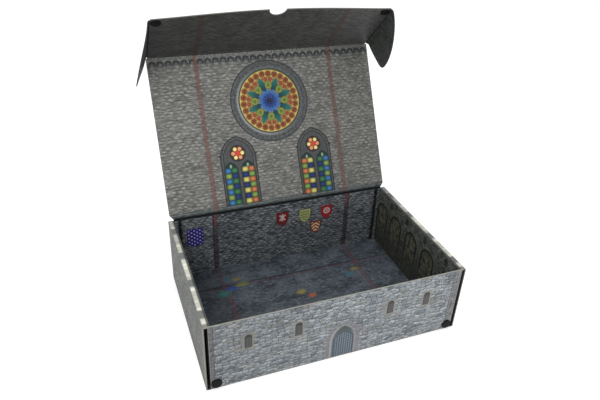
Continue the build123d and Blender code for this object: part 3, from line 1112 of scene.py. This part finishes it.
def outline_grid(points, step):
    """A flat mesh of an outline in local x and y, cut into a grid about step across."""
    sheet = bmesh.new()
    sheet.faces.new([sheet.verts.new((x, y, 0)) for x, y in points])
    for axis in range(2):
        normal = Vector((axis == 0, axis == 1, 0))
        low = min(point[axis] for point in points)
        high = max(point[axis] for point in points)
        count = max(2, round((high - low) / step))
        for index in range(1, count):
            bmesh.ops.bisect_plane(
                sheet,
                geom=sheet.verts[:] + sheet.edges[:] + sheet.faces[:],
                plane_co=normal * (low + (high - low) * index / count),
                plane_no=normal,
                dist=1e-5,
            )
    return sheet


def bent_board(name, points, step, place, surfaces, node_name, body):
    """A bent sheet of board: an outline, a map from it to the row frame, and its faces."""
    sheet = outline_grid(points, step)
    for vertex in sheet.verts:
        vertex.co = place(vertex.co.x, vertex.co.y) * MM
    data = bpy.data.meshes.new(name)
    sheet.to_mesh(data)
    sheet.free()
    made = stand_in(name, data, surfaces, node_name, body)
    solid = made.modifiers.new("thickness", "SOLIDIFY")
    solid.thickness = board * MM
    solid.offset = 0
    solid.use_even_offset = True
    solid.material_offset = 1
    solid.material_offset_rim = 2
    bpy.context.view_layer.update()
    solved = made.evaluated_get(bpy.context.evaluated_depsgraph_get())
    final = bpy.data.meshes.new_from_object(solved)
    made.modifiers.clear()
    made.data = final
    smoothed(final, 35)
    return made


def arc_points(centre, radius, start_angle, end_angle, count):
    """Points on an arc, with angles in degrees."""
    made = []
    for index in range(count + 1):
        angle = math.radians(start_angle + (end_angle - start_angle) * index / count)
        made.append((centre[0] + radius * math.cos(angle), centre[1] + radius * math.sin(angle)))
    return made


FLAP_BOW = 7.5             # the middle of the free edge stands this far out
FLAP_CORNER = 3
NOTCH_RADIUS = 14
PANEL_MARGIN = 0.9         # crease line to panel edge


def flap_bow(u, s):
    """How far the flap stands out from its plane."""
    across = max(0, 1 - (u / ear_root) ** 2)
    return FLAP_BOW * across ** 1.45 * (s / flap_height) ** 1.2


def flap_place(u, s):
    return flap_origin + X_AXIS * u + flap_dir * s - flap_in * flap_bow(u, s)


def flap_points():
    """The flap's outline: x runs along the crease and y is the height from it."""
    corner_x, corner_y = flap_half - FLAP_CORNER, flap_height - FLAP_CORNER
    return [
        (-flap_half, PANEL_MARGIN),
        (flap_half, PANEL_MARGIN),
        *arc_points((corner_x, corner_y), FLAP_CORNER, 0, 90, 6),
        *arc_points((0, flap_height), NOTCH_RADIUS, 0, -180, 24),
        *arc_points((-corner_x, corner_y), FLAP_CORNER, 90, 180, 6),
    ]


bent_board(
    "flap_board", flap_points(), 7.0, flap_place,
    (flap_inner_material(), flap_outer_material(), core_board("raw_board_edge", (92, 92, 88))),
    "lid_flap", "flap",
)

# Ears: the root bends in over a few millimetres and the tongue curls a little.
EAR_REACH = 60
EAR_SHOULDER = 8.5
EAR_TIP = 10
EAR_START, EAR_END = 3, 113
EAR_FULLNESS = 0.44        # handle length of the long curved edge; an ellipse has 0.55
ROOT_BEND = 1.5            # mm over which the root takes its fold


def ear_points():
    """The tongue's outline: x is the reach and y runs along the crease."""
    tip_y = EAR_SHOULDER + EAR_TIP
    made = [(PANEL_MARGIN, EAR_START), (EAR_SHOULDER, EAR_SHOULDER)]
    made += arc_points((EAR_REACH - EAR_TIP, tip_y), EAR_TIP, -90, 0, 8)
    run, rise = EAR_REACH - PANEL_MARGIN, EAR_END - tip_y
    curve = interpolate_bezier(
        (EAR_REACH, tip_y),
        (EAR_REACH, tip_y + EAR_FULLNESS * rise),
        (PANEL_MARGIN + EAR_FULLNESS * run, EAR_END),
        (PANEL_MARGIN, EAR_END),
        27,
    )
    return made + curve[1:]


def ear_place(sign, fold, curl, sweep, twist):
    """Maps the tongue's outline to its curled shape, by adding up its slope in degrees.

    The slope is fold at the root, changes by curl per mm and bends back by sweep per mm
    over the whole reach. twist is the change from the middle of the root to each end.
    """
    step = 0.5
    run = [Vector((0, 0))]
    for index in range(int(EAR_REACH / step) + 4):
        reach = (index + 0.5) * step
        bent = 1 - math.exp(-reach / ROOT_BEND)
        slope = math.radians((fold + curl * reach + sweep * reach ** 2 / EAR_REACH) * bent)
        run.append(run[-1] + step * Vector((math.cos(slope), math.sin(slope))))

    def place(reach, s):
        index = min(int(reach / step), len(run) - 2)
        flat = run[index].lerp(run[index + 1], reach / step - index)
        turn = math.radians(twist * (2 * (s - EAR_START) / (EAR_END - EAR_START) - 1))
        flat.rotate(Matrix.Rotation(turn, 2))
        return flap_origin + X_AXIS * sign * (ear_root + flat.x) + flap_dir * s + flap_in * flat.y

    return place


EAR_CURLS = {"left": (81.0, -0.83, 0.68, 2.6), "right": (86.8, -0.41, 0.21, 1.8)}
ear_surfaces = (
    ear_material("ear_inner_print", 1.0),
    ear_material("ear_outer_print", 1.6),
    # Painted shade: a darker copy of the bare board for the ears' cut edges.
    core_board("dark_board_edge", (44, 46, 45)),
)

for side, sign in SIDES:
    points = ear_points()
    ear = bent_board(
        f"ear_board_{side}", points[::-1] if sign < 0 else points, 4.0,
        ear_place(sign, *EAR_CURLS[side]), ear_surfaces,
        f"ear_{side}", f"ear_{side}",
    )
    slope = math.radians(rest_turn(f"ear_{side}_fold"))
    outward = X_AXIS * sign * math.cos(slope) + flap_in * math.sin(slope)
    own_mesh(ear)


def turned(name, profile, base, axis, body, surface, node_name, segments=64):
    """A closed turned piece: profile is (radius, height) from the axis round to the axis."""
    axis = axis.normalized()
    first = axis.orthogonal().normalized()
    second = axis.cross(first)
    shape = bmesh.new()
    rings = []
    for radius, height in profile:
        centre = base + axis * height
        ring = []
        for index in range(segments if radius > 0 else 1):
            angle = 2 * math.pi * index / segments
            spot = centre + (first * math.cos(angle) + second * math.sin(angle)) * radius
            ring.append(shape.verts.new(spot * MM))
        rings.append(ring)
    for lower, upper in zip(rings, rings[1:]):
        for index in range(segments):
            after = (index + 1) % segments
            corners_round = [lower[index % len(lower)], lower[after % len(lower)]]
            corners_round += [upper[after % len(upper)], upper[index % len(upper)]]
            shape.faces.new(dict.fromkeys(corners_round))
    bmesh.ops.recalc_face_normals(shape, faces=shape.faces[:])
    data = bpy.data.meshes.new(name)
    shape.to_mesh(data)
    shape.free()
    smoothed(data, 40)
    stand_in(name, data, [surface], node_name, body)


# The pocket fits round the magnet, and the rim is raised.
MAGNET_CLEARANCE = 0.1
DISC_RADIUS = 7.8
magnet_low, magnet_high = corners("front_disc_magnet_right")
magnet_radius = (magnet_high.x - magnet_low.x) / 2 + MAGNET_CLEARANCE
magnet_height = magnet_high.y - magnet_low.y + MAGNET_CLEARANCE
cap_low, cap_high = corners("front_disc_cap_right")
cap_height = cap_high.y - cap_low.y
# How far each ring of the cap's top lies in from its side and below its top.
CAP_TOP = (
    (0, 0.9), (0.12, 0.55), (0.4, 0.22), (0.85, 0.04), (1.2, 0), (1.55, 0.05),
    (1.8, 0.28), (2.1, 0.3), (2.5, 0.2), (4.5, 0.1), (DISC_RADIUS, 0.04),
)
cap_profile = [
    (0, magnet_height),
    (magnet_radius, magnet_height),
    (magnet_radius, 0),
    (DISC_RADIUS, 0),
    *((DISC_RADIUS - inset, cap_height - drop) for inset, drop in CAP_TOP),
]
rivet_profile = [
    (0, 0), (2, 0), (2, 3.1), (5, 3.1), (5, 3.6), (4.8, 3.95),
    (4.3, 4.15), (3.6, 4.25), (2.6, 4.18), (2.3, 4), (0, 3.95),
]

CREASE_BEAD = PANEL_MARGIN - 0.02
CREASE_RING = 12           # about how far apart the pressed rings are


def crease_bead(node_name, body, surface_name, axis, outward):
    """The folded board on a crease line: a bead with pressed rings, closed at its ends."""
    points = [Vector(vertex.co) / MM for vertex in frame["nodes"][node_name].data.vertices]
    ends = [point.dot(axis) for point in points]
    middle = sum(points, Vector()) / len(points)
    length = max(ends) - min(ends)
    profile = [(0, 0), (CREASE_BEAD * 0.7, 0), (CREASE_BEAD, 0.3)]
    count = round(length / CREASE_RING)
    for index in range(1, count):
        at = index * length / count
        profile += [(CREASE_BEAD, at - 0.5), (CREASE_BEAD - 0.06, at), (CREASE_BEAD, at + 0.5)]
    profile += [(CREASE_BEAD, length - 0.3), (CREASE_BEAD * 0.7, length), (0, length)]
    turned(
        f"{node_name}_bead", profile, middle + axis * (min(ends) - middle.dot(axis)), axis, body,
        crease_material(surface_name, outward.normalized()), node_name, 16,
    )


crease_bead("lid_crease", "lid", "lid_fold", X_AXIS, -lid_in)
crease_bead("flap_crease", "flap", "flap_fold", X_AXIS, -(lid_in + flap_in))
for side, sign in SIDES:
    outward = X_AXIS * sign - flap_in
    crease_bead(f"ear_crease_{side}", "flap", f"ear_fold_{side}", flap_dir, outward)


def disc(name, side, base, axis, body):
    turned(
        f"{name}_{side}", cap_profile, base, axis, body,
        black_plastic, f"{name}_cap_{side}",
    )


for side, sign in SIDES:
    low, high = corners(f"front_disc_cap_{side}")
    middle = (low + high) / 2
    middle.y = high.y
    disc("front_disc", side, middle, Vector((0, -1, 0)), "tray")
    low, high = corners(f"flap_disc_cap_{side}")
    middle = (low + high) / 2 - flap_in * (cap_height / 2)
    middle -= flap_in * flap_bow(middle.x, (middle - flap_origin).dot(flap_dir))
    disc("flap_disc", side, middle, flap_in, "flap")
    low, high = corners(f"corner_rivet_{side}")
    tail = (low + high) / 2
    tail.x = high.x if sign > 0 else low.x
    turned(
        f"rivet_{side}", rivet_profile, tail, Vector((-sign, 0, 0)), "tray",
        black_plastic, f"corner_rivet_{side}", segments=40,
    )


# -------------------------------------------------------------- stage, light, camera

FLOOR_REACH = 12
LIGHTS_AIM = Vector((0, 0, 0.15))


def stage_floor():
    x, y, z = start("studio_floor")
    colour = scaled((246, 246, 246), 0.985 + noise(x, y, 600, 600, 181, 2) * 0.02)
    surface = finish(
        colour, 0.9, Specular_IOR_Level=0.1, Emission_Color=(255, 255, 255),
        Emission_Strength=0.26,
    )
    data = bpy.data.meshes.new("studio_floor")
    square = [(-1, -1), (1, -1), (1, 1), (-1, 1)]
    data.from_pydata([(a * FLOOR_REACH, b * FLOOR_REACH, 0) for a, b in square], [], [(0, 1, 2, 3)])
    data.materials.append(surface)
    floor = linked("studio_floor", data)
    floor.location.z = -0.0002


def soft_light(name, place, size, power):
    data = bpy.data.lights.new(name, "AREA")
    data.shape = "DISK"
    data.size = size
    data.energy = power
    made = linked(name, data)
    made.location = place
    made.rotation_euler = (LIGHTS_AIM - Vector(place)).to_track_quat("-Z", "Y").to_euler()


def studio():
    stage_floor()
    world = bpy.data.worlds.new("studio")
    world.use_nodes = True
    bpy.context.scene.world = world
    backdrop = world.node_tree.nodes["Background"]
    backdrop.inputs["Color"].default_value = (1.0, 1.0, 1.0, 1.0)
    backdrop.inputs["Strength"].default_value = 0.72
    soft_light("key", (-1.0, -1.7, 2.2), 1.6, 34.0)
    soft_light("fill", (1.9, -0.9, 1.3), 1.8, 7.0)
    soft_light("top", (0.1, 0.4, 2.6), 1.6, 16.0)
    bpy.context.scene.view_settings.view_transform = "Standard"


CAMERA_AZIMUTH = math.radians(-22.1)
CAMERA_ELEVATION = math.radians(30.95)
CAMERA_ROLL = math.radians(2.63)
CAMERA_LENS = 33.69
CAMERA_PLACE = (-0.2897, -0.6607, 0.6284)


def photo_camera():
    data = bpy.data.cameras.new("photo_camera")
    data.lens = CAMERA_LENS
    data.sensor_width = 36
    data.clip_start = 0.01
    made = linked("photo_camera", data)
    made.matrix_world = (
        Matrix.Translation(CAMERA_PLACE)
        @ Matrix.Rotation(CAMERA_AZIMUTH, 4, "Z")
        @ Matrix.Rotation(math.pi / 2 - CAMERA_ELEVATION, 4, "X")
        @ Matrix.Rotation(CAMERA_ROLL, 4, "Z")
    )
    bpy.context.scene.camera = made


studio()
photo_camera()
